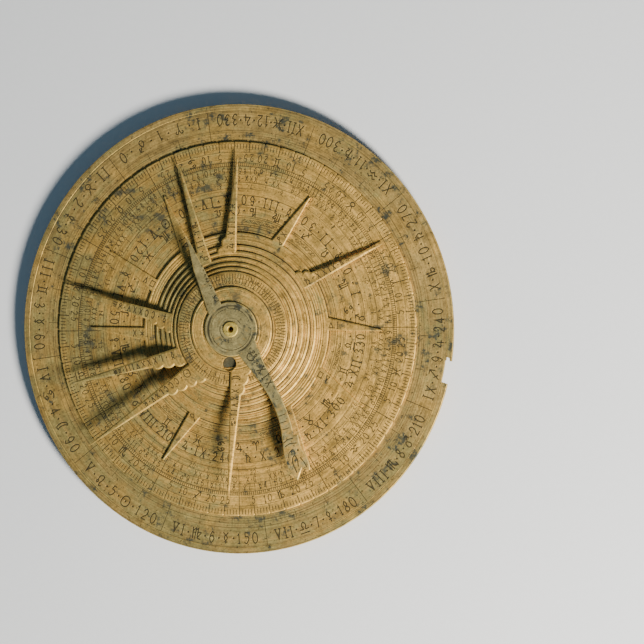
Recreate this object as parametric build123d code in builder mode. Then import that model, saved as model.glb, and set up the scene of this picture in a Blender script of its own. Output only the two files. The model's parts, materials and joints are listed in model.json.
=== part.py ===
"""Planetary astrolabe: a brass disc of houses carrying ten rotating discs on one hollow arbor.

Millimetres, +Z up out of the engraved face, origin at the centre of the face it rests on.
Angles are counted counter-clockwise from +X, seen from above.
"""

from build123d import *
from math import cos, radians, sin, sqrt
import os

os.makedirs("parts", exist_ok=True)

# Driving dimensions
outer_radius = 150.0
rim_width = 4.0
plate_thickness = 2.0
rim_step = 0.05
zodiac_radius = 124.9
notch_size = 0.8
notch_count = 72

# The stack: every disc sits one level above the last, with a thin spacer between them
disc_thickness = 1.2
level_gap = 0.3
spacer_thickness = 0.2
spacer_width = 3.0
first_level_gap = 0.3

# Arbor, a hollow rivet flared at both ends
arbor_radius = 3.4
arbor_bore = 1.9
running_clearance = 0.05
head_radius = 5.2
head_height = 0.9
head_flare = 0.5
head_clearance = 0.1
bore_chamfer = 0.5
tail_radius = 5.4
tail_height = 1.0
tail_chamfer = 0.5
tail_washer_radius = 8.0
tail_washer_thickness = 1.0
tail_washer_chamfer = 0.3

# Hub that carries the plate clear of the table
hub_height = 7.5
hub_flange_radius = 46.0
hub_flange_thickness = 1.6
hub_foot_outer = 38.0
hub_foot_inner = 31.0
hub_recess_depth = 2.6
hub_pocket_radius = 9.0
hub_pocket_depth = 1.2
hub_foot_chamfer = 0.5
rivet_circle = 42.0
rivet_radius = 1.5
rivet_head_radius = 2.8
rivet_head_height = 1.2
rivet_head_taper = 30
rivet_count = 4

# Break in the rim band, between two angles, which bites a little into the plate
break_start = -14.6
break_end = -8.8
break_depth = 0.5
# The ends of the torn band, (distance in from the outer edge, degrees past the break)
torn_start = [(rim_width, 0.0), (-5.0, -0.3)]
torn_end = [(-5.0, 0.2), (1.2, -0.1), (1.7, 0.7), (rim_width, 0.9)]

# Aspect disc: eight short pointers, one per aspect that the stars can hold
aspect_radius = 64.4
aspect_tip_radius = 101.7
aspect_root_width = 8.6
aspect_tip_width = 0.9
aspect_tip_slant = 0.4
aspect_root_reach = 5.0
aspect_turn = -1.4
aspect_angles = (0, 60, 120, 150, 180, 240, 300, 330)

# Planet discs, lowest first: disc radius, angle and reach of the hand, where its bracket starts,
# how wide the bracket gets, and how many scallops it is cut in
planets = {
    "saturn": (56.0, 28.2, 116.8, 64.0, 12.0, 2),
    "jupiter": (52.0, 88.1, 116.6, 61.0, 12.5, 2),
    "mars": (48.0, 108.5, 116.4, 57.0, 12.0, 2),
    "venus": (44.5, 166.1, 119.0, 59.0, 12.0, 3),
    "mercury": (41.3, 196.9, 121.6, 61.5, 12.0, 3),
    "sun": (38.3, 216.9, 127.8, 62.0, 15.0, 4),
    "moon": (28.2, 267.7, 112.8, 44.0, 14.5, 3),
}
hand_root_width = 7.6
hand_tip_width = 0.8
hand_tip_slant = 0.5
scallop_rise = 1.6
bracket_overlap = 1.0

# Window in the moon disc, and the eccentric dark inlay, sunk in the sun disc, that shows the phase through it
window_reach = 23.1
window_side = -0.8
window_radius = 4.8
inlay_radius = 22.8
inlay_offset = 4.8
inlay_inner_radius = 9.0
inlay_recess = 0.8
inlay_thickness = 0.35

# Node hand: a dagger to one side and a dragon-like hand to the other
node_radius = 18.2
dagger = [(-15.6, 11.0), (-25.4, 39.5), (-29.9, 62.1), (-17.8, 39.5), (-6.8, 17.4)]
dragon_left = [(5.3, -17.3), (20.6, -37.0), (31.2, -56.5), (34.8, -74.0), (36.0, -85.0), (45.2, -100.6)]
dragon_right = [(17.0, -7.5), (26.3, -29.6), (37.6, -53.0), (42.6, -71.0)]
dragon_spur = [(42.6, -71.0), (45.6, -70.4), (46.4, -74.6)]
dragon_chin = [(46.4, -74.6), (48.6, -80.6), (52.0, -86.5), (53.6, -94.2)]
dragon_fork = [(53.6, -94.2), (48.2, -92.6), (45.2, -100.6)]

# Levels
plate_bottom = hub_height
plate_top = plate_bottom + plate_thickness
rim_radius = outer_radius - rim_width
level_names = ["zodiac", "aspect", *planets, "node"]
level_pitch = disc_thickness + level_gap
disc_bore = arbor_radius + running_clearance
stack_top = plate_top + first_level_gap + len(level_names) * level_pitch - level_gap
head_bottom = stack_top + head_clearance


def level_plane(level_name, angle=0.0):
    """The underside of a disc, with x along the disc's hand."""
    height = plate_top + first_level_gap + level_names.index(level_name) * level_pitch
    return Plane(origin=(0, 0, height), x_dir=(cos(radians(angle)), sin(radians(angle)), 0), z_dir=(0, 0, 1))


def in_from_edge(distance, angle):
    """A point at a distance in from the outer edge, at an angle in degrees."""
    return Vector(outer_radius - distance, 0).rotate(Axis.Z, angle)


def write(piece, node_name):
    """Name a finished piece and write it out."""
    piece.part.label = node_name
    export_step(piece.part, f"parts/{node_name}.step")


def hand_outline(disc_radius, tip_radius, bracket_start, bracket_width, scallops):
    """Outline of a planet's hand, in its own plane: a straight reading edge along x,
    a slanting back edge, and a scalloped bracket that runs into the disc."""
    disc_edge = disc_radius - bracket_overlap
    bracket_end = sqrt(disc_edge**2 - bracket_width**2)
    tip = (tip_radius, 0)
    tip_back = (tip_radius - hand_tip_slant, hand_tip_width)
    cusps = [
        (
            bracket_start + (bracket_end - bracket_start) * step / scallops,
            hand_root_width + (bracket_width - hand_root_width) * step / scallops,
        )
        for step in range(scallops + 1)
    ]
    inner = disc_radius / 2
    Polyline((inner, 0), tip, tip_back, cusps[0])
    for outer_cusp, inner_cusp in zip(cusps, cusps[1:]):
        SagittaArc(outer_cusp, inner_cusp, -scallop_rise)
    Polyline(cusps[-1], (inner, cusps[-1][1] / 2), (inner, 0))


# Hub: a turned boss with a broad foot, riveted to the back of the plate
with BuildPart() as rear_hub:
    with BuildSketch(Plane.XZ):
        with BuildLine():
            Polyline(
                (arbor_radius, hub_height),
                (hub_flange_radius, hub_height),
                (hub_flange_radius, hub_height - hub_flange_thickness),
                (hub_foot_outer, hub_height - hub_flange_thickness),
                (hub_foot_outer, 0),
                (hub_foot_inner, 0),
                (hub_foot_inner, hub_recess_depth),
                (hub_pocket_radius, hub_recess_depth),
                (hub_pocket_radius, hub_recess_depth + hub_pocket_depth),
                (arbor_radius, hub_recess_depth + hub_pocket_depth),
                close=True,
            )
        make_face()
    revolve(axis=Axis.Z)
    foot_edges = rear_hub.edges().filter_by(GeomType.CIRCLE).group_by(Axis.Z)[0]
    chamfer(foot_edges, hub_foot_chamfer)
    with Locations(Plane.XY.offset(hub_height)):
        with PolarLocations(rivet_circle, rivet_count, start_angle=45):
            Hole(rivet_radius, depth=hub_flange_thickness)
write(rear_hub, "rear_hub")

# Flush-topped rivets that hold the hub to the plate
with BuildPart() as hub_rivets:
    flange_underside = hub_height - hub_flange_thickness
    with BuildSketch(Plane.XY.offset(flange_underside)):
        with PolarLocations(rivet_circle, rivet_count, start_angle=45):
            Circle(rivet_radius)
    extrude(amount=plate_top - flange_underside)
    with BuildSketch(Plane.XY.offset(flange_underside)):
        with PolarLocations(rivet_circle, rivet_count, start_angle=45):
            Circle(rivet_head_radius)
    extrude(amount=-rivet_head_height, taper=rivet_head_taper)
write(hub_rivets, "hub_rivets")

# Base plate, engraved with the twelve houses
with BuildPart() as base_plate:
    with BuildSketch(Plane.XY.offset(plate_bottom)):
        Circle(rim_radius)
        Circle(arbor_radius, mode=Mode.SUBTRACT)
        with PolarLocations(rivet_circle, rivet_count, start_angle=45):
            Circle(rivet_radius, mode=Mode.SUBTRACT)
    extrude(amount=plate_thickness)
    with BuildSketch(Plane.XY.offset(plate_bottom)):
        with BuildLine():
            CenterArc((0, 0), rim_radius - break_depth, break_start, break_end - break_start)
            CenterArc((0, 0), outer_radius, break_start, break_end - break_start)
            for angle in (break_start, break_end):
                Line(in_from_edge(rim_width + break_depth, angle), in_from_edge(0, angle))
        make_face()
    extrude(amount=plate_thickness, mode=Mode.SUBTRACT)
write(base_plate, "base_plate")

# Rim band around the plate, with a stretch broken out
with BuildPart() as rim_band:
    with BuildSketch(Plane.XY.offset(plate_bottom)):
        Circle(outer_radius)
        Circle(rim_radius, mode=Mode.SUBTRACT)
        with BuildLine():
            Polyline(
                (0, 0),
                *[in_from_edge(distance, break_start + turn) for distance, turn in torn_start],
                *[in_from_edge(distance, break_end + turn) for distance, turn in torn_end],
                close=True,
            )
        make_face(mode=Mode.SUBTRACT)
    extrude(amount=plate_thickness + rim_step)
write(rim_band, "rim_band")

# Hollow arbor, flared over the node hand at the top and over a washer at the back
with BuildPart() as arbor:
    tail_bottom = hub_recess_depth + hub_pocket_depth - tail_washer_thickness - tail_height
    with BuildSketch(Plane.XZ):
        with BuildLine():
            Polyline(
                (arbor_bore, tail_bottom),
                (tail_radius - tail_chamfer, tail_bottom),
                (tail_radius, tail_bottom + tail_chamfer),
                (tail_radius, tail_bottom + tail_height),
                (arbor_radius, tail_bottom + tail_height),
                (arbor_radius, head_bottom),
                (head_radius, head_bottom),
                (head_radius, head_bottom + head_height - head_flare),
                (head_radius - head_flare, head_bottom + head_height),
                (arbor_bore + bore_chamfer, head_bottom + head_height),
                (arbor_bore, head_bottom + head_height - bore_chamfer),
                close=True,
            )
        make_face()
    revolve(axis=Axis.Z)
write(arbor, "arbor")

# Washer under the arbor's tail
with BuildPart() as tail_washer:
    with BuildSketch(Plane.XY.offset(hub_recess_depth + hub_pocket_depth - tail_washer_thickness)):
        Circle(tail_washer_radius)
        Circle(arbor_radius, mode=Mode.SUBTRACT)
    extrude(amount=tail_washer_thickness)
    chamfer(tail_washer.edges().group_by(Axis.Z)[0].sort_by(SortBy.RADIUS)[-1], tail_washer_chamfer)
write(tail_washer, "tail_washer")

# Thin spacers on the arbor, one under each turning disc
with BuildPart() as disc_spacers:
    for level_name in level_names:
        spacer_bottom = level_plane(level_name).origin.Z - (level_gap + spacer_thickness) / 2
        with BuildSketch(Plane.XY.offset(spacer_bottom)):
            Circle(arbor_radius + spacer_width)
            Circle(arbor_radius, mode=Mode.SUBTRACT)
        extrude(amount=spacer_thickness)
write(disc_spacers, "disc_spacers")

# Zodiac disc, the lowest of the turning discs, with its edge notched every five degrees
with BuildPart() as zodiac_disc:
    with BuildSketch(level_plane("zodiac")):
        Circle(zodiac_radius)
        with PolarLocations(zodiac_radius, notch_count):
            RegularPolygon(notch_size, 4, mode=Mode.SUBTRACT)
        Circle(disc_bore, mode=Mode.SUBTRACT)
    extrude(amount=disc_thickness)
write(zodiac_disc, "zodiac_disc")

# Aspect disc with its eight pointers, each with its straight edge on a radius
with BuildPart() as aspect_disc:
    with BuildSketch(level_plane("aspect")):
        Circle(aspect_radius)
        for angle in aspect_angles:
            with BuildLine(Plane.XY.rotated((0, 0, angle + aspect_turn))):
                Polyline(
                    (aspect_radius - aspect_root_reach, 0),
                    (aspect_tip_radius, 0),
                    (aspect_tip_radius - aspect_tip_slant, aspect_tip_width),
                    (aspect_radius - bracket_overlap, aspect_root_width),
                    (aspect_radius - aspect_root_reach, aspect_root_width),
                    close=True,
                )
            make_face()
        Circle(disc_bore, mode=Mode.SUBTRACT)
    extrude(amount=disc_thickness)
write(aspect_disc, "aspect_disc")

# Planet discs, each in one piece with its hand
for planet, (disc_radius, angle, tip_radius, bracket_start, bracket_width, scallops) in planets.items():
    hand_plane = level_plane(planet, angle)
    with BuildPart() as planet_disc:
        with BuildSketch(hand_plane):
            Circle(disc_radius)
            with BuildLine():
                hand_outline(disc_radius, tip_radius, bracket_start, bracket_width, scallops)
            make_face()
            Circle(disc_bore, mode=Mode.SUBTRACT)
            if planet == "moon":
                with Locations((window_reach, window_side)):
                    Circle(window_radius, mode=Mode.SUBTRACT)
        extrude(amount=disc_thickness)
        if planet == "sun":
            with BuildSketch(hand_plane.offset(disc_thickness)):
                with Locations((inlay_offset, 0)):
                    Circle(inlay_radius)
                Circle(inlay_inner_radius, mode=Mode.SUBTRACT)
            extrude(amount=-inlay_recess, mode=Mode.SUBTRACT)
    write(planet_disc, f"{planet}_disc")

# Dark inlay sunk in the sun disc, off centre, so that the moon's window shows more or less of it
with BuildPart() as moon_phase_inlay:
    with BuildSketch(level_plane("sun", planets["sun"][1]).offset(disc_thickness - inlay_recess)):
        with Locations((inlay_offset, 0)):
            Circle(inlay_radius)
        Circle(inlay_inner_radius, mode=Mode.SUBTRACT)
    extrude(amount=inlay_thickness)
write(moon_phase_inlay, "moon_phase_inlay")

# Node hand, the topmost, with a disc and two opposite arms
with BuildPart() as node_hand:
    with BuildSketch(level_plane("node")):
        Circle(node_radius)
        with BuildLine():
            Polyline(*dagger, (0, 0), close=True)
        make_face()
        with BuildLine():
            Spline(*dragon_left)
            Spline(*dragon_right)
            Polyline(*dragon_spur)
            Spline(*dragon_chin)
            Polyline(*dragon_fork)
            Polyline(dragon_left[0], (0, 0), dragon_right[0])
        make_face()
        Circle(disc_bore, mode=Mode.SUBTRACT)
    extrude(amount=disc_thickness)
write(node_hand, "node_hand")
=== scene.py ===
"""The flat faces of the plate and the discs are cut again here with their engraving: every scale,
numeral, sign and ornament is a real V-shaped groove in the mesh. Lengths in the engraving code
are millimetres, and the finished meshes are metres.
"""

import json
from collections import defaultdict
from math import atan2, cos, degrees, pi, radians, sin

import bmesh
import bpy
import numpy as np
from mathutils import Matrix, Vector
from mathutils.geometry import delaunay_2d_cdt

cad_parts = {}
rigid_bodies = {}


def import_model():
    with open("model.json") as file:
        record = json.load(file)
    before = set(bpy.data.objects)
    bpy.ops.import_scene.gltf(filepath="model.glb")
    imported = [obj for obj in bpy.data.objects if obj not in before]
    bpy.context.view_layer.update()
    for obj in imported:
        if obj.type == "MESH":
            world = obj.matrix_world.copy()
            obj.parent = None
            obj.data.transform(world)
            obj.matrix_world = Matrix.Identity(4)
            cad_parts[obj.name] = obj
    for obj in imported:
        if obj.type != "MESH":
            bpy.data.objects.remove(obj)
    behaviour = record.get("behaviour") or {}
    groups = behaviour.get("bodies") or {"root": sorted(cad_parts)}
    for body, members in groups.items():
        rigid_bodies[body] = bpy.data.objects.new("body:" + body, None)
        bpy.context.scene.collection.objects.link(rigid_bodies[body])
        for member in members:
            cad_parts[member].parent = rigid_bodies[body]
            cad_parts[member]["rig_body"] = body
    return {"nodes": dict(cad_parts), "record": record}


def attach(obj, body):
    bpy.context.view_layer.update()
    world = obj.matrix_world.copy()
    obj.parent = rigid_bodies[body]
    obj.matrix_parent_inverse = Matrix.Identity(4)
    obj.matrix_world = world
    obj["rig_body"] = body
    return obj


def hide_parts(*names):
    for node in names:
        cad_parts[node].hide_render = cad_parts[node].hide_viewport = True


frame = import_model()
for leftover in [o for o in bpy.data.objects if o.name in ("Cube", "Light", "Camera")]:
    bpy.data.objects.remove(leftover)
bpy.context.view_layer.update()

MM = 0.001


def linked(name, data):
    """A new object in the scene."""
    obj = bpy.data.objects.new(name, data)
    bpy.context.scene.collection.objects.link(obj)
    return obj


# ---------------------------------------------------------------- signs and numerals
# Each glyph is its width over its height, then its strokes on an 8 by 8 grid, two digits a point.
# "~" smooths a stroke, "@" closes it, and a single point is a punched dot.

GLYPHS = {
    "0": (0.55, "@~40 72 76 48 16 12"),
    "1": (0.35, "16 48 40 20 60"),
    "2": (0.55, "~16 38 67 64 32 10,10 70"),
    "3": (0.55, "~17 48 66 34,~34 73 40 11"),
    "4": (0.55, "50 58 12 72"),
    "5": (0.55, "68 28 25,~25 65 73 40 11"),
    "6": (0.55, "~67 38 13 40 73 45 14"),
    "7": (0.55, "18 78 30"),
    "8": (0.55, "@~48 66 44 26,@~44 72 40 12"),
    "9": (0.55, "~21 50 75 48 15 43 74"),
    "I": (0.32, "40 48,18 78,10 70"),
    "V": (0.66, "18 40 78,08 38,58 88"),
    "X": (0.62, "18 70,10 78"),
    "L": (0.50, "28 20 70 72"),
    "C": (0.58, "~76 48 14 40 72"),
    ".": (0.25, "44"),
    ":": (0.25, "42,46"),
    "aries": (0.75, "~16 07 28 45 40,~76 87 68 45"),
    "taurus": (0.75, "@~40 72 44 12,~08 26 44 66 88"),
    "gemini": (0.70, "~08 47 88,~00 41 80,27 21,67 61"),
    "cancer": (0.80, "@~06 25 46 27,~17 48 87,@~82 61 42 63,~71 40 01"),
    "leo": (0.75, "@~12 21 32 23,~23 16 48 66 52 60 81"),
    "virgo": (0.85, "08 10,~16 38 37 30,~36 58 57 51 80,~55 85 51"),
    "libra": (0.85, "00 80,~03 33 26 48 66 53 83"),
    "scorpio": (0.85, "08 10,~16 38 37 30,~36 58 57 52 80,62 80 83"),
    "sagittarius": (0.75, "00 88,48 88 84,14 41"),
    "capricorn": (0.80, "08 10,~16 38 36 31,@~54 73 51 33"),
    "aquarius": (0.90, "06 27 45 67 86,03 24 42 64 83"),
    "pisces": (0.75, "~08 34 00,~88 54 80,04 84"),
    "saturn": (0.65, "28 20,06 56,~24 55 73 51 70"),
    "jupiter": (0.70, "~17 38 46 12,12 82,65 60"),
    "mars": (0.75, "@~30 51 53 35 13 11,55 88,58 88 85"),
    "venus": (0.60, "@~48 66 44 26,44 40,22 62"),
    "mercury": (0.60, "~18 46 78,@~46 64 42 24,42 40,21 61"),
    "sun": (0.80, "@~48 77 84 71 40 11 04 17,44"),
    "moon": (0.60, "~68 28 04 20 60,~68 46 42 60"),
    "ascending": (0.80, "@~20 31 22 11,~22 05 28 68 85 62,@~60 71 62 51"),
    "descending": (0.80, "@~28 37 26 17,~26 03 20 60 83 66,@~68 77 66 57"),
    "conjunction": (0.80, "@~30 52 53 35 13 12,45 88"),
    "sextile": (0.75, "40 48,12 76,16 72"),
    "square": (0.75, "@11 71 77 17"),
    "trine": (0.80, "@11 71 47"),
    "opposition": (0.80, "@~20 32 23 02,33 55,@~68 86 65 56"),
}
GRID = 8.0
SIGNS = ["aries", "taurus", "gemini", "cancer", "leo", "virgo",
         "libra", "scorpio", "sagittarius", "capricorn", "aquarius", "pisces"]
RULERS = ["mars", "venus", "mercury", "moon", "sun", "mercury",
          "venus", "mars", "jupiter", "saturn", "saturn", "jupiter"]
PLANETS = ["saturn", "jupiter", "mars", "venus", "mercury", "sun", "moon"]


def roman(number):
    """A whole number in Roman numerals, as a list of glyphs."""
    text = ""
    for value, letters in ((100, "C"), (90, "XC"), (50, "L"), (40, "XL"), (10, "X"),
                           (9, "IX"), (5, "V"), (4, "IV"), (1, "I")):
        while number >= value:
            text += letters
            number -= value
    return list(text)


def digits(number):
    """A whole number in Arabic numerals, as a list of glyphs."""
    return list(str(number))


def smoothed(points, closed, steps=3):
    """Catmull-Rom curve through the points."""
    count = len(points)
    spans = count if closed else count - 1

    def at(index):
        return points[index % count] if closed else points[min(max(index, 0), count - 1)]

    curve = []
    for span in range(spans):
        p0, p1, p2, p3 = (at(span + k) for k in (-1, 0, 1, 2))
        for step in range(steps):
            t = step / steps
            curve.append(0.5 * (2 * p1 + (p2 - p0) * t + (2 * p0 - 5 * p1 + 4 * p2 - p3) * t**2
                                + (3 * p1 - p0 - 3 * p2 + p3) * t**3))
    return curve if closed else curve + [points[-1]]


def glyph_strokes(name):
    """The strokes of one glyph, in units of its height: (points, closed)."""
    width, text = GLYPHS[name]
    strokes = []
    for token in text.split(","):
        closed = token.startswith("@")
        token = token.lstrip("@")
        smooth = token.startswith("~")
        points = [np.array([int(p[0]) * width, int(p[1])]) / GRID for p in token.lstrip("~").split()]
        if smooth:
            points = smoothed(points, closed)
        strokes.append((np.array(points), closed))
    return strokes


def polar(radius, angle):
    """A point from its radius and its angle in degrees."""
    return np.array([radius * cos(radians(angle)), radius * sin(radians(angle))])


# ---------------------------------------------------------------- engraving

GROOVE_SLOPE = 0.48    # depth over half width
BEVEL_SLOPE = 0.45
DOT_SHARE = 1.8        # radius of a punched dot over the half width of the strokes beside it
HAND_WOBBLE = 0.028    # how unevenly the glyphs stand, over their height
ROUND_SPACING = 0.28   # between glyphs, over their height
ALONG_SPACING = 0.4


class Engraving:
    """The grooves to cut in one flat face, in millimetres. seed settles how unevenly they are cut."""

    def __init__(self, seed):
        self.strokes = []
        self.rings = []
        self.random = np.random.default_rng(seed)

    def stroke(self, points, half_width, closed=False):
        """A V groove along a line of points."""
        self.strokes.append((np.array(points, float), half_width, closed))

    def dot(self, point, radius):
        """A punched dot."""
        self.stroke([point], radius)

    def ring(self, radius, half_width, dirt=1.0, slope=GROOVE_SLOPE):
        """A turned groove right round the disc, more or less full of dirt. At a disc's foot a very shallow
        one paints grime and shade.
        """
        self.rings.append((radius, half_width, half_width * slope, dirt))

    def ticks(self, marks, angles):
        """Radial marks at the angles. marks is their inner and outer radius and their half width."""
        inner, outer, half_width = marks
        for angle in angles:
            self.stroke([polar(inner, angle), polar(outer, angle)], half_width)

    def glyph(self, name, place, half_width):
        """One glyph. place turns a point in glyph units into millimetres on the face."""
        for points, closed in glyph_strokes(name):
            if len(points) == 1:
                self.dot(place(points[0]), half_width * DOT_SHARE)
            else:
                self.stroke([place(p) for p in points], half_width, closed)

    def text_round(self, names, row, angle, span=None):
        """Glyphs centred on an angle, tops towards the middle of the disc, read anticlockwise.
        row is the radius of their feet, their height and the half width of their strokes.
        span spreads them over that many degrees."""
        radius, height, half_width = row
        spacing = ROUND_SPACING
        widths = sum(GLYPHS[n][0] for n in names)
        if span:
            spacing = (radians(span) * (radius - height / 2) / height - widths) / (len(names) - 1)
        total = widths + spacing * (len(names) - 1)
        at = -total / 2
        mid_radius = radius - height / 2
        for name in names:
            lift, lean = self.random.normal(0, HAND_WOBBLE, 2)

            def place(p, at=at, lift=lift, lean=lean):
                along = (at + p[0] + lean * p[1]) * height
                return polar(radius - (p[1] + lift) * height, angle + degrees(along / mid_radius))

            self.glyph(name, place, half_width)
            at += GLYPHS[name][0] + spacing

    def text_along(self, names, start, direction, line):
        """Glyphs in a straight line, from their lower left corner, along an angle in degrees.
        line is their height, the half width of their strokes and how much smaller each is than
        the last, for a hand that tapers."""
        height, half_width, shrink = line
        along = polar(1, direction)
        up = polar(1, direction + 90)
        at = np.array(start, float)
        for name in names:
            def place(p, at=at.copy(), size=height):
                return at + (along * p[0] + up * p[1]) * size

            self.glyph(name, place, half_width)
            at += along * (GLYPHS[name][0] + ALONG_SPACING) * height
            height *= 1 - shrink


TINY = 1e-9            # keeps a division away from zero
LONGEST_MITRE = 1.8    # over the half width
DOT_SIDES = 6          # of a punched dot


def unit(vectors):
    """The vectors at a length of one."""
    return vectors / np.maximum(np.linalg.norm(vectors, axis=-1, keepdims=True), TINY)


def groove_outline(points, half_width, closed):
    """Left and right edges of a groove, mitred at its corners."""
    ahead = np.roll(points, -1, axis=0) - points
    if not closed:
        ahead[-1] = ahead[-2]
    ahead = unit(ahead)
    behind = np.roll(ahead, 1, axis=0)
    if not closed:
        behind[0] = ahead[0]
        behind[-1] = ahead[-1] = ahead[-2] if len(points) > 2 else ahead[-1]
    side_a = np.stack([-ahead[:, 1], ahead[:, 0]], axis=1)
    side_b = np.stack([-behind[:, 1], behind[:, 0]], axis=1)
    mitre = unit(side_a + side_b)
    stretch = np.clip(1 / np.maximum((mitre * side_a).sum(axis=1), TINY), 1, LONGEST_MITRE)
    offset = mitre * (half_width * stretch)[:, None]
    return points + offset, points - offset


class Face:
    """Points and edges for the constrained triangulation of one flat face."""

    def __init__(self):
        self.points = []
        self.edges = []

    def chain(self, points, closed=False):
        """Adds a line of points joined by edges."""
        first = len(self.points)
        self.points.extend(points)
        self.edges.extend((first + k, first + k + 1) for k in range(len(points) - 1))
        if closed:
            self.edges.append((first + len(points) - 1, first))

    def groove(self, points, half_width, closed):
        """Adds the two edges and the bottom of one groove, or the rim and the middle of a dot."""
        if len(points) == 1:
            rim = [points[0] + polar(half_width, 360 * k / DOT_SIDES) for k in range(DOT_SIDES)]
            self.chain(rim, True)
            self.points.append(points[0])
            return
        left, right = groove_outline(points, half_width, closed)
        if closed:
            for line in (left, points, right):
                self.chain(line, True)
            return
        first = points[0] + unit(points[0] - points[1]) * half_width
        last = points[-1] + unit(points[-1] - points[-2]) * half_width
        self.chain([first, *left, last, *right[::-1]], True)
        self.chain([first, *points, last])


RING_WAVES = (1, 2, 3, 5, 8)    # times round the ring that the cutter's pressure rises and falls
PRESSURE = 0.7                  # over the ring's full depth
PRESSURE_SWING = 0.8
LEAST_PRESSURE = 0.1


def ring_shares(points, engraving):
    """For each turned ring, the share of its depth at each point, and the ring's depth and dirt, which for
    the ring at a disc's foot is also painted shade.
    """
    radius = np.hypot(points[:, 0], points[:, 1])
    heading = np.arctan2(points[:, 1], points[:, 0])
    for ring_radius, half_width, depth, dirt in engraving.rings:
        share = np.clip(1 - np.abs(radius - ring_radius) / half_width, 0, 1)
        waves = sum(np.sin(k * heading + engraving.random.uniform(0, 2 * pi)) for k in RING_WAVES)
        share *= np.clip(PRESSURE + PRESSURE_SWING * waves / len(RING_WAVES), LEAST_PRESSURE, 1)
        yield share, depth, dirt


def millimetre_cells(points):
    """The numbers of the points in each square millimetre."""
    cells = defaultdict(list)
    for index, (cx, cy) in enumerate(np.floor(points).astype(int)):
        cells[(cx, cy)].append(index)
    return {key: np.array(found) for key, found in cells.items()}


def near_segment(points, cells, a, b, half_width):
    """The numbers of the points near the line from a to b, and their nearness, 1 on the line and 0 at
    half_width from it."""
    low = np.floor(np.minimum(a, b) - half_width).astype(int)
    high = np.floor(np.maximum(a, b) + half_width).astype(int)
    near = [cells[(cx, cy)] for cx in range(low[0], high[0] + 1)
            for cy in range(low[1], high[1] + 1) if (cx, cy) in cells]
    if not near:
        return [], 0.0
    near = np.concatenate(near)
    span = b - a
    offset = points[near] - a
    along = np.clip(offset @ span / max(span @ span, TINY), 0, 1)
    away = np.linalg.norm(offset - along[:, None] * span, axis=1)
    return near, np.clip(1 - away / half_width, 0, 1)


def depth_at(points, engraving, outline, bevels):
    """How deep the face is cut at each point, and how dark the cut is, 0 to 1. The outline is bevelled."""
    deep = np.zeros(len(points))
    dark = np.zeros(len(points))
    for share, depth, dirt in ring_shares(points, engraving):
        deep = np.maximum(deep, share * depth)
        dark = np.maximum(dark, share * dirt)
    cells = millimetre_cells(points)
    edges = [(loop, width, True, BEVEL_SLOPE, 0.0) for loop, width in zip(outline, bevels)]
    grooves = [(*stroke, GROOVE_SLOPE, 1.0) for stroke in engraving.strokes]
    for line, half_width, closed, slope, dirt in edges + grooves:
        ends = np.roll(line, -1, axis=0) if closed or len(line) == 1 else line[1:]
        for a, b in zip(line, ends):
            near, share = near_segment(points, cells, a, b, half_width)
            if len(near):
                deep[near] = np.maximum(deep[near], share * half_width * slope)
                dark[near] = np.maximum(dark[near], share * dirt)
    return deep, dark


def inside(points, loops):
    """Which points lie in the region bounded by the loops, by the even-odd rule."""
    found = np.zeros(len(points), bool)
    for loop in loops:
        for a, b in zip(loop, np.roll(loop, -1, axis=0)):
            crosses = (a[1] > points[:, 1]) != (b[1] > points[:, 1])
            if crosses.any():
                x = a[0] + (points[:, 1] - a[1]) * (b[0] - a[0]) / (b[1] - a[1])
                found ^= crosses & (points[:, 0] < x)
    return found


def inset(loop, width, loops):
    """The loop moved sideways into the region by a width."""
    left, right = groove_outline(loop, width, True)
    middle = (loop + left) / 2
    return left if inside(middle, loops).mean() > 0.5 else right


def edge_loops(edges):
    """Chains bmesh edges into closed loops of vertices."""
    joined = defaultdict(list)
    for edge in edges:
        a, b = edge.verts
        joined[a].append(b)
        joined[b].append(a)
    loops = []
    waiting = set(joined)
    while waiting:
        loop = []
        onward = [min(waiting, key=lambda v: v.index)]
        while onward:
            loop.append(onward[0])
            waiting.discard(onward[0])
            onward = [v for v in joined[loop[-1]] if v in waiting]
        loops.append(loop)
    return loops


FLAT = 0.999            # upward share of a level face's normal
WELD = 1e-6             # metres
HOLE_BEVEL = 0.15
MERGE = 1e-5            # millimetres, in the triangulation
RING_POINTS = 2.4       # per millimetre of radius
FEWEST_RING_POINTS = 48


def open_face(bm, side):
    """Takes out the level face on one side, up or down. Gives its loops of vertices and its height."""
    level = side * max(side * v.co.z for v in bm.verts)
    old = [f for f in bm.faces
           if f.normal.z * side > FLAT and all(abs(v.co.z - level) < WELD for v in f.verts)]
    old_set = set(old)
    border = [e for f in old for e in f.edges if sum(g in old_set for g in e.link_faces) == 1]
    loops = edge_loops(border)
    bmesh.ops.delete(bm, geom=old, context="FACES_KEEP_BOUNDARY")
    return loops, level


def face_lines(engraving, loops, bevels):
    """Every line that the new face has an edge along. The points of its loops come first."""
    face = Face()
    for loop in loops:
        face.chain(list(loop), True)
    for loop, width in zip(loops, bevels):
        face.chain(list(inset(loop, width, loops)), True)
    for line, half_width, closed in engraving.strokes:
        face.groove(line, half_width, closed)
    for radius, half_width, _, _ in engraving.rings:
        count = max(FEWEST_RING_POINTS, int(radius * RING_POINTS))
        for r in (radius - half_width, radius, radius + half_width):
            face.chain([polar(r, 360 * k / count) for k in range(count)], True)
    return face


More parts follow.
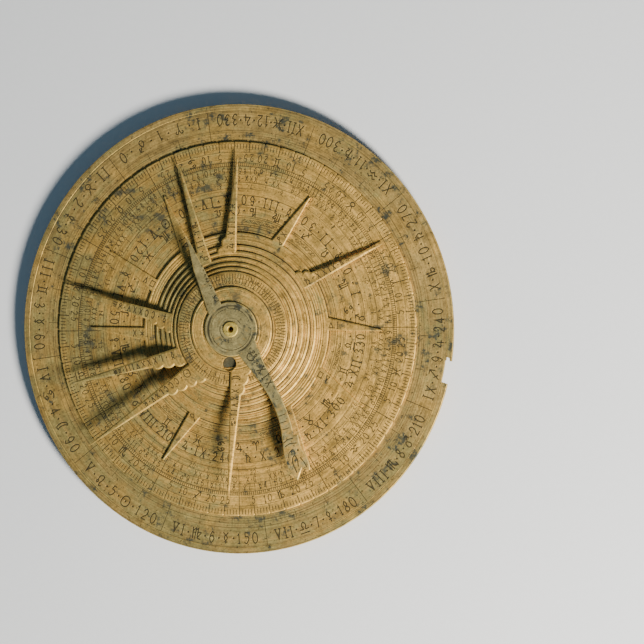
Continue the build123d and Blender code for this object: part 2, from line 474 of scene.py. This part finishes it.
def cut_face(bm, side, engraving, bevel, dark_layer, edge_layer):
    """Replaces one flat face of a solid, its top (1) or its underside (-1), with an engraved and
    bevelled one."""
    loops, level = open_face(bm, side)
    flat_loops = [np.array([(v.co.x / MM, v.co.y / MM) for v in loop]) for loop in loops]
    outermost = int(np.argmax([np.ptp(loop[:, 0]) for loop in flat_loops]))
    bevels = [bevel if k == outermost else min(bevel, HOLE_BEVEL) for k in range(len(loops))]
    rim = [(v, BEVEL_SLOPE * width, k == outermost)
           for k, (loop, width) in enumerate(zip(loops, bevels)) for v in loop]

    face = face_lines(engraving, flat_loops, bevels)
    points, _, faces, origin, _, _ = delaunay_2d_cdt(
        [Vector(p) for p in face.points], face.edges, [], 0, MERGE)
    points = np.array([tuple(p) for p in points])
    triangles = np.array([f[:3] for f in faces])
    triangles = triangles[inside(points[triangles].mean(axis=1), flat_loops)]
    rim_of = {index: source for index, sources in enumerate(origin)
              for source in sources if source < len(rim)}

    deep, dark = depth_at(points, engraving, flat_loops, bevels)
    vertex = {}
    for index in np.unique(triangles):
        if index in rim_of:
            vertex[index] = rim[rim_of[index]][0]
            continue
        x, y = points[index]
        vertex[index] = bm.verts.new((x * MM, y * MM, level - side * deep[index] * MM))
        vertex[index][dark_layer] = dark[index]
    for triangle in triangles:
        new = bm.faces.new([vertex[k] for k in triangle[::side]])
        # faces on the outer bevel carry the wear mark, which also paints a highlight along the edge
        new[edge_layer] = float(any(k in rim_of and rim[rim_of[k]][2] for k in triangle))
    for v, rim_depth, _ in rim:
        v.co.z = level - side * rim_depth * MM


def engraved_piece(node, top, under, bevel):
    """A new piece with the shape of a CAD node and engraved flat faces."""
    bm = bmesh.new()
    bm.from_mesh(frame["nodes"][node].data)
    bmesh.ops.remove_doubles(bm, verts=bm.verts, dist=WELD)
    bm.normal_update()
    bm.verts.index_update()
    # how dark each point is cut: dirt in the grooves, and painted shade in the ring at each disc's foot
    dark_layer = bm.verts.layers.float.new("cut")
    # faces of the outer bevel: polished by wear and lightened as a painted highlight
    edge_layer = bm.faces.layers.float.new("edge_wear_and_highlight")
    for engraving, side in ((top, 1), (under, -1)):
        if engraving:
            cut_face(bm, side, engraving, bevel, dark_layer, edge_layer)
    bm.normal_update()
    mesh = bpy.data.meshes.new(node + "_engraved")
    bm.to_mesh(mesh)
    bm.free()
    piece = linked(node + "_engraved", mesh)
    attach(piece, frame["nodes"][node]["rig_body"])
    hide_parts(node)
    return piece


# ---------------------------------------------------------------- what each face carries
# A row of glyphs is the radius of their feet, their height and the half width of their strokes.
# Marks are their inner and outer radius and their half width. A ring is its radius and half width.

LEVELS = ["zodiac_disc", "aspect_disc", *[planet + "_disc" for planet in PLANETS], "node_hand"]
SIGN_SPAN = 30          # degrees, of a sign of the zodiac and of a house
DOT = 0.5
SMALL_DOT = 0.3

HOUSE_EDGE = 7.5        # degrees, where the first house starts
HOUSE_RINGS = ((145.6, 0.2), (132.6, 0.16), (129.6, 0.2), (128.2, 0.14), (126.4, 0.14))
HOUSE_MARKS = (126.0, 145.2, 0.3)
HOUSE_THIRD_MARKS = (126.2, 132.4, 0.22)
HOUSE_ROW = (143.4, 7.2, 0.52)
HOUSE_TEXT_SPAN = 25    # degrees
HOUSE_DOT_RADIUS = 131.1

DEGREE_MARKS = (120.6, 123.6, 0.34)
FIVE_DEGREE_MARKS = (118.4, 123.6, 0.4)
DEGREE_FOOT = 118.1
ROW_RADII = (DEGREE_FOOT, 103.2, 98.1, 93.9, 89.6)
ROW_LINE = 0.24
LADDER_RADII = (111.2, 108.7)
LADDER_LINE = 0.34
FIELD_RADII = (82.8, 75.7, 74.6, 70.0, 68.6, 66.4)
FIELD_LINE = 0.26
LADDER_MARKS = (109.0, 110.9, 0.3)
LADDER_COUNT = 480
SIGN_MARKS = (98.2, 124.0, 0.32)
TERM_MARKS = (103.4, 108.5, 0.26)
MANSION_MARKS = (94.1, 97.9, 0.24)
SIGN_ROW = (117.4, 5.8, 0.48)
DEGREE_ROW = (116.8, 4.8, 0.38)
TERM_ROW = (107.8, 4.1, 0.33)
DECAN_ROW = (102.5, 3.7, 0.31)
MANSION_ROW = (97.5, 3.1, 0.28)
RULER_ROW = (89.2, 6.0, 0.5)
RULER_TEXT_SPAN = 24
OPPOSITE_ROW = (82.2, 6.0, 0.5)
OPPOSITE_TEXT_SPAN = 21
MANSIONS = 28
STAR_BAND = (84.5, 96.0)
SCROLL_RADIUS = 72.3
SCROLL_SPAN = 14        # degrees
SCROLL_LINE = 0.22
SCROLL_ANGLES = (48, 66, 79, 168, 231, 289, 345)

ASPECT_TURN = -1.4                # degrees from the angles below to the pointers
ASPECT_RINGS = (2.0, 4.0, 5.5, 7.0)
ASPECT_LINE = (4.9, 0.38, 0.1)    # a line is its glyphs' height, half width and shrink
# Where the lines of glyphs start: the radius, and from a hand's straight edge to the feet of its glyphs
ASPECT_LINE_START = 64.0
ASPECT_LINE_RISE = 1.4
HAND_LINE = (5.3, 0.4, 0.055)
HAND_LINE_RISE = 1.3
FOOT = 0.2                        # from the edge of a disc to the line of grime and painted shade round it
FOOT_GRIME_AND_SHADE = (0.9, 0.6, 0.02)          # half width, darkness from grime and painted shade, and slope of that line
TURNED_GROOVE = (0.65, 0.1, 0.42)

# The signs on each pointer, by its angle
ASPECTS = {
    0: ["trine", "I"],
    60: ["opposition", "X"],
    120: ["trine", "I"],
    150: ["square", "V"],
    180: ["sextile", "X"],
    240: ["conjunction"],
    300: ["sextile"],
    330: ["square", "V"],
}

# Period in years or days, how far in from the disc's edge its turned rings are, and how far out
# from it the marks on the hand start
PLANET_FACES = {
    "saturn": (29, (1.9, 3.0), 1.5),
    "jupiter": (12, (1.9,), 1.5),
    "mars": (2, (1.4, 2.5), 1.5),
    "venus": (225, (1.8,), 2.5),
    "mercury": (88, (1.7,), 2.7),
    "sun": (365, (1.0, 8.8), 2.7),
    "moon": (27, (1.6, 8.0), 2.8),
}

LUNAR_MONTH = 29.5      # days
LUNAR_RINGS = ((34.3, 0.2), (30.2, 0.2))
QUARTER_DAY_MARKS = (34.5, 37.0, 0.34)
DAY_MARKS = (30.4, 34.2, 0.34)
DAY_ROW = (33.9, 3.2, 0.3)

NODE_RINGS = ((15.8, 1.5, 0.5, 0.13), (13.9, 0.3), (7.6, 0.9, 0.4, 0.11))    # two with dirt and slope
DAGGER_ANGLE = 113.0
DAGGER_LINE = (5.0, 0.4, 0.03)
DAGGER_START = polar(21.0, DAGGER_ANGLE) + polar(2.6, DAGGER_ANGLE - 90)
DRAGON_ANGLE = -55.0
DRAGON_LINE = (6.6, 0.48, 0.04)
DRAGON_START = polar(20.0, -50.0) + polar(3.4, -141.0)

# The dragon's brow, cheek, mane, jaw and lower lip: half width of the stroke, then its points
DRAGON = (
    (0.45, ((35.6, -76.0), (38.6, -73.6), (42.0, -72.9))),
    (0.45, ((36.6, -78.6), (40.0, -76.4), (44.6, -76.0))),
    (0.5, ((44.6, -95.6), (42.2, -90.4), (41.6, -86.6), (43.2, -84.4), (45.0, -87.0), (45.6, -91.4))),
    (0.42, ((39.0, -86.0), (39.4, -82.6), (41.6, -80.2))),
    (0.45, ((51.6, -92.0), (49.4, -88.4), (47.0, -85.6))),
)
DRAGON_EYE = (45.4, -80.6)
# Lines across the dragon's shoulder and neck: the first, the step to the next, how many and half width
DRAGON_CREASES = (
    (((12.6, -16.4), (16.2, -18.6)), ((-1.6, 1.6), (-1.6, 1.6)), 2, 0.25),
    (((31.6, -58.4), (37.2, -56.6)), ((1.7, -4.4), (1.3, -4.6)), 3, 0.36),
)

RIM_RING = (149.0, 0.14)
BACK_RADII = (138.0, 136.6, 112.0, 84.0, 82.8, 56.0)
BACK_LINE = 0.22
COMPASS_RADIUS = 136.6


def node_points(node):
    """The vertices of a CAD node, seen from above, in millimetres."""
    return np.array([v.co[:2] for v in frame["nodes"][node].data.vertices]) / MM


def disc_radius(node, inner_holes=10.0):
    """The radius on which most of a disc's vertices lie, past its inner holes."""
    reach = np.linalg.norm(node_points(node), axis=1)
    radii, counts = np.unique(reach[reach > inner_holes].round(1), return_counts=True)
    return float(radii[counts.argmax()])


def hand_angle(node):
    """The angle in degrees at which a disc reaches furthest, which is where its hand points."""
    points = node_points(node)
    x, y = points[np.linalg.norm(points, axis=1).argmax()]
    return degrees(atan2(y, x))


def house_plate():
    """The base plate: twelve numbered houses, read round the outer ring."""
    cut = Engraving(11)
    for radius, half_width in HOUSE_RINGS:
        cut.ring(radius, half_width)
    for house in range(12):
        start = HOUSE_EDGE + SIGN_SPAN * house
        cut.ticks(HOUSE_MARKS, [start])
        cut.ticks(HOUSE_THIRD_MARKS, [start + 10, start + 20])
        number = (house + 9) % 12 + 1    # the tenth house comes first
        names = [*roman(number), ".", SIGNS[number - 1], ".", *digits(number), ".",
                 RULERS[number - 1], ".", *digits(SIGN_SPAN * (number - 1))]
        cut.text_round(names, HOUSE_ROW, start + SIGN_SPAN / 2, HOUSE_TEXT_SPAN)
        for k in range(6):
            cut.dot(polar(HOUSE_DOT_RADIUS, start + 5 * k + 2.5), SMALL_DOT)
    return cut


def sign_of_zodiac(cut, sign):
    """What one sign's twelfth of the zodiac disc carries. Its numerals and planets go round by turns."""
    start = SIGN_SPAN * sign
    middle = start + SIGN_SPAN / 2
    cut.ticks(SIGN_MARKS, [start])
    cut.text_round([SIGNS[sign]], SIGN_ROW, middle)
    for step in (5, 10, 20, 25):
        cut.text_round(digits(step), DEGREE_ROW, start + step)
    for k in range(5):
        names = [PLANETS[(sign * 2 + k) % 5], *digits((sign * 3 + k * 5) % 8 + 4)]
        cut.text_round(names, TERM_ROW, start + 6 * k + 3)
        cut.ticks(TERM_MARKS, [start + 6 * k + 6])
    for k in range(3):
        names = [*roman(10 * (k + 1)), ".", PLANETS[(sign * 3 + k) % 7]]
        cut.text_round(names, DECAN_ROW, start + 10 * k + 5)
    names = [RULERS[sign], ".", *roman(sign + 1), ".", *digits(SIGN_SPAN * sign)]
    cut.text_round(names, RULER_ROW, middle, RULER_TEXT_SPAN)
    names = [SIGNS[(sign + 6) % 12], ".", PLANETS[(sign * 4) % 7], ".", SIGNS[(sign + 3) % 12]]
    cut.text_round(names, OPPOSITE_ROW, start, OPPOSITE_TEXT_SPAN)


def zodiac_face():
    """The zodiac disc: degrees, ladder scale, rows of small characters and two of larger ones."""
    cut = Engraving(12)
    cut.ticks(DEGREE_MARKS, [angle for angle in range(360) if angle % 5])
    cut.ticks(FIVE_DEGREE_MARKS, range(0, 360, 5))
    for angle in range(0, 360, 5):
        cut.dot(polar(DEGREE_FOOT, angle + 2.5), DOT)
    for radius in ROW_RADII:
        cut.ring(radius, ROW_LINE)
    for radius in LADDER_RADII:
        cut.ring(radius, LADDER_LINE)
    cut.ticks(LADDER_MARKS, [360 / LADDER_COUNT * k for k in range(LADDER_COUNT)])
    for sign in range(12):
        sign_of_zodiac(cut, sign)
    for mansion in range(MANSIONS):
        cut.text_round([*digits(mansion + 1), "."], MANSION_ROW, (mansion + 0.5) * 360 / MANSIONS)
        cut.ticks(MANSION_MARKS, [mansion * 360 / MANSIONS])
    for radius in FIELD_RADII:
        cut.ring(radius, FIELD_LINE)
    step_rings(cut, "zodiac_disc", ())
    for angle in SCROLL_ANGLES:
        scroll(cut, angle)
    for angle in range(0, 360, 8):
        cut.dot(polar(cut.random.uniform(*STAR_BAND), angle + cut.random.uniform(0, 6)), DOT)
    return cut


def scroll(cut, angle, waves=3, steps=18):
    """A short length of leafy scrollwork along a band, which thins out as it goes."""
    for phase, rise in ((0, 1.5), (pi / 2, 1.1), (pi, 1.5)):
        points = []
        for k in range(steps + 1):
            t = k / steps
            wave = rise * sin(phase + t * waves * 2 * pi) * (1 - 0.4 * t)
            points.append(polar(SCROLL_RADIUS + wave, angle + SCROLL_SPAN * (t - 0.5)))
        cut.stroke(points, SCROLL_LINE)


def step_rings(cut, node, distances):
    """Grime with painted shade at the foot of the disc above, and turned grooves at distances in from this
    disc's edge.
    """
    disc_above = LEVELS[LEVELS.index(node) + 1]
    # a shallow dark ring round the foot of the disc above: grime, and painted shade where that disc shades
    # this one
    cut.ring(disc_radius(disc_above) + FOOT, *FOOT_GRIME_AND_SHADE)
    for distance in distances:
        cut.ring(disc_radius(node) - distance, *TURNED_GROOVE)


def aspect_face():
    """The aspect disc: each pointer carries the sign of its aspect."""
    cut = Engraving(13)
    step_rings(cut, "aspect_disc", ASPECT_RINGS)
    for angle, names in ASPECTS.items():
        turn = angle + ASPECT_TURN
        start = polar(ASPECT_LINE_START, turn) + polar(ASPECT_LINE_RISE, turn + 90)
        cut.text_along(names, start, turn, ASPECT_LINE)
    return cut


def planet_face(planet):
    """A planet's disc and hand: turned rings, and the planet's sign and period along the hand."""
    period, ring_distances, marks_distance = PLANET_FACES[planet]
    node = planet + "_disc"
    angle = hand_angle(node)
    cut = Engraving(20 + PLANETS.index(planet))
    step_rings(cut, node, ring_distances)
    start = polar(disc_radius(node) + marks_distance, angle) + polar(HAND_LINE_RISE, angle + 90)
    ruled = [sign for sign, ruler in zip(SIGNS, RULERS) if ruler == planet]
    cut.text_along([planet, ".", *roman(period), ".", *ruled], start, angle, HAND_LINE)
    if planet == "sun":
        lunar_age_scale(cut, angle)
    return cut


def lunar_age_scale(cut, hand):
    """The age of the moon, in 29 and a half days, round the sun's disc from its hand on."""
    day = 360 / LUNAR_MONTH
    for radius, half_width in LUNAR_RINGS:
        cut.ring(radius, half_width)
    cut.ticks(QUARTER_DAY_MARKS, [hand + day * k / 4 for k in range(int(LUNAR_MONTH * 4))])
    cut.ticks(DAY_MARKS, [hand + day * k for k in range(30)])
    for k in range(29):
        cut.text_round(digits(k + 1), DAY_ROW, hand + day * (k + 0.5))


def node_face():
    """The node hand: the ascending node on the dagger, the descending node on the dragon's arm."""
    cut = Engraving(14)
    for ring in NODE_RINGS:
        cut.ring(*ring)
    cut.text_along(["ascending", ".", *roman(18)], DAGGER_START, DAGGER_ANGLE, DAGGER_LINE)
    cut.text_along(["descending", ".", *roman(19)], DRAGON_START, DRAGON_ANGLE, DRAGON_LINE)
    for first, step, count, half_width in DRAGON_CREASES:
        for k in range(count):
            cut.stroke(np.array(first) + k * np.array(step), half_width)
    for half_width, points in DRAGON:
        cut.stroke(smoothed(np.array(points), False, 4), half_width)
    cut.dot(DRAGON_EYE, 2 * DOT)
    return cut


def rim_face():
    """The rim band: one fine line."""
    cut = Engraving(15)
    cut.ring(*RIM_RING)
    return cut


def plate_back():
    """The underside of the plate: the marks of the lathe and of the compass."""
    cut = Engraving(16)
    for radius in BACK_RADII:
        cut.ring(radius, BACK_LINE)
    for house in range(12):
        cut.dot(polar(COMPASS_RADIUS, HOUSE_EDGE + SIGN_SPAN * house), DOT)
    return cut


# ---------------------------------------------------------------- materials


class Shader:
    """A Principled material with short ways to add and join nodes."""

    def __init__(self, name):
        self.material = bpy.data.materials.new(name)
        self.material.use_nodes = True
        self.nodes = self.material.node_tree.nodes
        self.links = self.material.node_tree.links
        self.surface = self.nodes["Principled BSDF"]

    def add(self, kind, inputs=None, **settings):
        """A new node. An input is a plain value or another node's output."""
        node = self.nodes.new("ShaderNode" + kind)
        for key, value in settings.items():
            setattr(node, key, value)
        for key, value in (inputs or {}).items():
            if isinstance(value, bpy.types.NodeSocket):
                self.links.new(value, node.inputs[key])
            else:
                node.inputs[key].default_value = value
        return node

    def math(self, operation, a, b=0.0, clamp=False):
        """The result of a Math node."""
        return self.add("Math", {0: a, 1: b}, operation=operation, use_clamp=clamp).outputs[0]

    def mix(self, share, a, b):
        """Colour a towards colour b by a share."""
        return self.add("Mix", {0: share, 6: a, 7: b}, data_type="RGBA").outputs[2]

    def noise(self, vector, scale, detail, roughness):
        """A noise at a scale per metre, 0 to 1."""
        sockets = {"Vector": vector, "Scale": scale, "Detail": detail, "Roughness": roughness}
        return self.add("TexNoise", sockets).outputs["Fac"]

    def spread(self, value):
        """Stretches a noise, which keeps near 0.5, over most of 0 to 1."""
        return self.add("MapRange", {"Value": value, "From Min": 0.3, "From Max": 0.7}).outputs["Result"]

    def band(self, value, low, high):
        """0 below low, 1 above high, smooth between."""
        node = self.add("MapRange", {"Value": value, "From Min": low, "From Max": high},
                        interpolation_type="SMOOTHSTEP")
        return node.outputs["Result"]

    def shade(self, colour, noise, strength):
        """Lightens and darkens a colour by a noise that lies about 0.5."""
        level = self.math("ADD", self.math("MULTIPLY", self.math("SUBTRACT", noise, 0.5), strength), 1.0)
        return self.add("VectorMath", {0: colour, "Scale": level}, operation="SCALE").outputs[0]

    def set(self, **sockets):
        """Sets or links the surface's sockets."""
        for name, value in sockets.items():
            socket = self.surface.inputs[name.replace("_", " ")]
            if isinstance(value, bpy.types.NodeSocket):
                self.links.new(value, socket)
            else:
                socket.default_value = value


WARM = (0.70, 0.445, 0.118, 1)
GOLD = (0.51, 0.345, 0.112, 1)
FRESH = (0.66, 0.51, 0.13, 1)
OLIVE = (0.30, 0.24, 0.085, 1)
GREEN = (0.345, 0.29, 0.13, 1)
INLAY = (0.060, 0.057, 0.033, 1)
# dark colour of dirt in grooves and pits and of the inlay's darker patches, also the painted shade at each
# disc's foot
DIRT_AND_SHADE_COLOUR = (0.022, 0.020, 0.012, 1)
STAIN = (0.088, 0.093, 0.066, 1)
RUDDY = (0.58, 0.345, 0.075, 1)
# colour of edges polished by wear, pale enough to paint a highlight along them
WEAR_HIGHLIGHT_COLOUR = (0.80, 0.56, 0.15, 1)
GLINT = (1.0, 0.80, 0.42, 1)

# Noises in the brass: scale per metre, detail and roughness
CLOUD = (26.0, 5.0, 0.62)
RUDDY_PATCHES = (40.0, 3.0, 0.5)
BLOTCHES = (110.0, 6.0, 0.78)
MOTTLE = (150.0, 5.0, 0.65)
PITS = (520.0, 2.0, 0.5)
GRAIN = (800.0, 3.0, 0.7)
# Noises drawn out round the axis: lines per metre of radius, arcs round the turn and detail
LATHE = (900.0, 1.2, 3.0)
WEAR_ARCS = (240.0, 5.0, 4.0)

# The values between which each of these rises from none to all
RUDDY_BAND = (0.48, 0.66)
STAIN_BAND = (0.80, 0.92)
PIT_BAND = (0.62, 0.72)
DIRT_BAND = (0.07, 0.38)
WEAR_HIGHLIGHT_BAND = (0.36, 0.60)
PATINA_BAND = (1.60, 2.05)

ROUGHNESS = 0.56
RELIEF = 0.00007                         # metres


def brass(name, warm, olive, patina, stain=0.5, turned=0.5, seed=0.0, edge_wear_and_highlight=0.8, lean=(0.0, 0.0),
          metal=0.8, ruddy=0.4):
    """Old brass. patina is how far it has turned olive, stain how blotched it is, turned how strongly
    the lathe lines show, edge_wear_and_highlight how bright its edges are, polished by wear and lit as a
    painted highlight, lean the direction, per metre, towards which it turns more olive and darker, and
    ruddy how far its redder patches show."""
    s = Shader(name)
    place = s.add("TexCoord").outputs["Object"]
    shifted = s.add("VectorMath", {0: place, 1: (seed, seed * 0.7, seed * 1.3)}, operation="ADD").outputs[0]
    elsewhere = s.add("VectorMath", {0: shifted, 1: (3.1, 1.7, 0.4)}, operation="ADD").outputs[0]
    flat = s.add("VectorMath", {0: place, 1: (1, 1, 0)}, operation="MULTIPLY").outputs[0]
    radius = s.add("VectorMath", {0: flat}, operation="LENGTH").outputs["Value"]
    heading = s.add("VectorMath", {0: flat}, operation="NORMALIZE").outputs[0]
    leaning = s.add("VectorMath", {0: place, 1: (*lean, 0)}, operation="DOT_PRODUCT").outputs["Value"]

    def turned_noise(lines, arcs, detail):
        """Noise drawn out into arcs round the axis."""
        around = s.add("VectorMath", {0: heading, "Scale": arcs}, operation="SCALE").outputs[0]
        line = s.math("MULTIPLY", s.math("ADD", radius, seed), lines)
        outward = s.add("CombineXYZ", {2: line}).outputs[0]
        spot = s.add("VectorMath", {0: around, 1: outward}, operation="ADD").outputs[0]
        return s.spread(s.noise(spot, 1.0, detail, 0.65))

    lathe = turned_noise(*LATHE)
    wear_arcs = turned_noise(*WEAR_ARCS)
    cloud = s.noise(shifted, *CLOUD)
    mottle = s.noise(shifted, *MOTTLE)
    grain = s.spread(s.noise(shifted, *GRAIN))

    # Patina, more olive and darker towards the side that lean points to, and redder patches
    level = s.math("ADD", s.math("MULTIPLY", cloud, 1.1), s.math("MULTIPLY", mottle, 0.8))
    # the brass turns more olive and darker towards the side that lean points to
    level = s.math("ADD", s.math("ADD", level, s.math("MULTIPLY", wear_arcs, 0.6)), leaning)
    aged = s.band(level, PATINA_BAND[0] - patina, PATINA_BAND[1] - patina)
    colour = s.mix(aged, warm, olive)
    if ruddy:
        reddened = s.math("MULTIPLY", s.band(s.noise(shifted, *RUDDY_PATCHES), *RUDDY_BAND), ruddy)
        colour = s.mix(reddened, colour, RUDDY)

    # Lathe lines, arcs of wear and unevenness
    for noise, strength in ((lathe, turned * 0.9), (wear_arcs, turned * 1.3), (grain, 0.5), (mottle, 1.5)):
        colour = s.shade(colour, noise, strength)

    # Stains and pits
    blotch = s.math("ADD", s.noise(elsewhere, *BLOTCHES), s.math("MULTIPLY", cloud, 0.5))
    blotched = s.math("MULTIPLY", s.band(blotch, *STAIN_BAND), stain, True)
    colour = s.mix(blotched, colour, STAIN)
    pitted = s.math("MULTIPLY", s.band(s.noise(shifted, *PITS), *PIT_BAND), 0.65, True)
    colour = s.mix(pitted, colour, DIRT_AND_SHADE_COLOUR)

    # Dirt in the grooves, and grime with painted shade at the foot of each disc above
    cut = s.add("Attribute", attribute_name="cut").outputs["Fac"]
    dirt_and_shade = s.math("MULTIPLY", s.band(cut, *DIRT_BAND), 0.95, True)
    colour = s.mix(dirt_and_shade, colour, DIRT_AND_SHADE_COLOUR)
    # Edges polished bright by wear and lightened as a painted highlight
    edge = s.add("Attribute", attribute_name="edge_wear_and_highlight").outputs["Fac"]
    wear_and_highlight = s.math("MULTIPLY", s.math("MULTIPLY", edge, edge_wear_and_highlight), s.band(mottle, *WEAR_HIGHLIGHT_BAND), True)
    colour = s.mix(wear_and_highlight, colour, WEAR_HIGHLIGHT_COLOUR)

    rough = s.math("ADD", s.math("MULTIPLY", aged, 0.10), s.math("MULTIPLY", mottle, 0.22))
    rough = s.math("ADD", s.math("ADD", rough, ROUGHNESS), s.math("MULTIPLY", wear_and_highlight, -0.2), True)
    rough = s.math("MAXIMUM", rough, dirt_and_shade)
    metallic = s.math("MULTIPLY", s.math("SUBTRACT", 1.0, dirt_and_shade), metal) if metal else 0.0
    relief = s.math("ADD", s.math("MULTIPLY", lathe, turned * 2.4), s.math("MULTIPLY", grain, 0.4))
    relief = s.math("SUBTRACT", relief, s.math("MULTIPLY", pitted, 0.8))
    bump = s.add("Bump", {"Height": relief, "Distance": RELIEF, "Strength": 0.8}).outputs["Normal"]
    s.set(Base_Color=colour, Metallic=metallic, Roughness=rough, Normal=bump, Specular_Tint=GLINT)
    return s.material


BRASSES = {
    "outer_brass": dict(warm=GOLD, olive=OLIVE, patina=0.55, stain=1.0, seed=0.3, edge_wear_and_highlight=0.6,
                        lean=(-0.6, -0.6)),
    "disc_brass": dict(warm=WARM, olive=OLIVE, patina=0.50, stain=0.85, turned=0.6, seed=0.9, edge_wear_and_highlight=0.35,
                       lean=(-2.3, 0.4)),
    "hand_brass": dict(warm=WARM, olive=OLIVE, patina=0.44, stain=0.7, turned=0.55, seed=1.7, edge_wear_and_highlight=0.5,
                       lean=(-5.0, 2.0)),
    "green_brass": dict(warm=WARM, olive=GREEN, patina=0.9, stain=1.6, turned=0.25, seed=2.3, edge_wear_and_highlight=0.9,
                        lean=(-2.0, 3.4), ruddy=0.0),
    "bright_brass": dict(warm=FRESH, olive=GOLD, patina=0.15, stain=0.3, turned=0.3, seed=3.1, edge_wear_and_highlight=0.9),
    "back_brass": dict(warm=GOLD, olive=OLIVE, patina=0.5, turned=0.7, seed=4.2),
    "dark_inlay": dict(warm=INLAY, olive=DIRT_AND_SHADE_COLOUR, patina=0.3, turned=0.2, seed=5.3, edge_wear_and_highlight=0.0, metal=0.0,
                       ruddy=0.0),
}
materials = {name: brass(name, **settings) for name, settings in BRASSES.items()}
slot_of = {part["node"]: part["material_slot"] for part in frame["record"]["subparts"]}


def coat(piece, node):
    """Gives a piece the material of a CAD node's slot, and no other."""
    piece.data.materials.clear()
    piece.data.materials.append(materials[slot_of[node]])


# ---------------------------------------------------------------- build

# Engraving on top, engraving underneath, and the width of the bevel round the edge. An empty
# engraving cuts the bevel alone.
faces = {
    "base_plate": (house_plate(), plate_back(), 0.12),
    "rim_band": (rim_face(), Engraving(0), 0.35),
    "zodiac_disc": (zodiac_face(), None, 0.45),
    "aspect_disc": (aspect_face(), None, 0.6),
    "node_hand": (node_face(), None, 0.5),
}
for planet in PLANETS:
    faces[planet + "_disc"] = (planet_face(planet), None, 1.0)
for node, (engraving, under, bevel) in faces.items():
    piece = engraved_piece(node, engraving, under, bevel)
    coat(piece, node)
    slot_of[node]
for node, carried in frame["nodes"].items():
    if node not in faces:
        coat(carried, node)


# ---------------------------------------------------------------- floor, light and camera

FLOOR_REACH = 6.0                  # metres
FLOOR_GRAIN = (260.0, 3.0, 0.55)
FLOOR_DARKER = (0.84, 0.85, 0.86, 1)
FLOOR_LIGHTER = (0.88, 0.89, 0.90, 1)
FLOOR_ROUGHNESS = 0.85
SKY = (0.42, 0.66, 0.86, 1)
SKY_STRENGTH = 0.11
LIT_POINT = Vector((0, 0, 0.01))

VIEW_DISTANCE = 6.0
VIEW_TILT = radians(16.8)
VIEW_TURN = radians(1.7)
VIEW_ROLL = radians(-0.8)
VIEW_LENS = 504.0
VIEW_TARGET = Vector((0.0586, 0.004, 0.008))


def aimed(obj, position, target, roll=0.0):
    """Stands an object at a position, looking at a target, with +Y up in its view."""
    back = (position - target).normalized()
    right = Vector((0, 1, 0)).cross(back).normalized()
    up = back.cross(right)
    turned_right = right * cos(roll) + up * sin(roll)
    turned_up = up * cos(roll) - right * sin(roll)
    obj.matrix_world = Matrix((turned_right, turned_up, back)).transposed().to_4x4()
    obj.matrix_world.translation = position


def soft_light(name, azimuth, elevation, distance, size, power, colour):
    """An area light over the object, placed by angles in degrees."""
    data = bpy.data.lights.new(name, "AREA")
    data.shape = "DISK"
    data.size = size
    data.energy = power
    data.color = colour
    across = polar(distance * cos(radians(elevation)), azimuth)
    position = Vector((*across, distance * sin(radians(elevation))))
    aimed(linked(name, data), position, LIT_POINT)


floor_shader = Shader("floor")
grain = floor_shader.noise(floor_shader.add("TexCoord").outputs["Object"], *FLOOR_GRAIN)
floor_colour = floor_shader.mix(grain, FLOOR_DARKER, FLOOR_LIGHTER)
floor_shader.set(Base_Color=floor_colour, Roughness=FLOOR_ROUGHNESS)
floor_mesh = bpy.data.meshes.new("floor")
floor_corners = [(x * FLOOR_REACH, y * FLOOR_REACH, 0) for x, y in ((-1, -1), (1, -1), (1, 1), (-1, 1))]
floor_mesh.from_pydata(floor_corners, [], [(0, 1, 2, 3)])
floor_mesh.materials.append(floor_shader.material)
floor = linked("floor", floor_mesh)

soft_light("key", azimuth=-40, elevation=34, distance=1.8, size=0.48, power=86, colour=(1.0, 0.965, 0.90))
soft_light("fill", azimuth=110, elevation=62, distance=2.4, size=2.2, power=4.2, colour=(0.40, 0.70, 1.0))
world = bpy.data.worlds.new("studio")
world.use_nodes = True
sky = world.node_tree.nodes["Background"]
sky.inputs["Color"].default_value = SKY
sky.inputs["Strength"].default_value = SKY_STRENGTH
bpy.context.scene.world = world

camera_data = bpy.data.cameras.new("camera")
camera_data.lens = VIEW_LENS
camera = linked("camera", camera_data)
outward = Vector((sin(VIEW_TILT) * cos(VIEW_TURN), sin(VIEW_TILT) * sin(VIEW_TURN), cos(VIEW_TILT)))
aimed(camera, VIEW_TARGET + outward * VIEW_DISTANCE, VIEW_TARGET, VIEW_ROLL)
bpy.context.scene.camera = camera
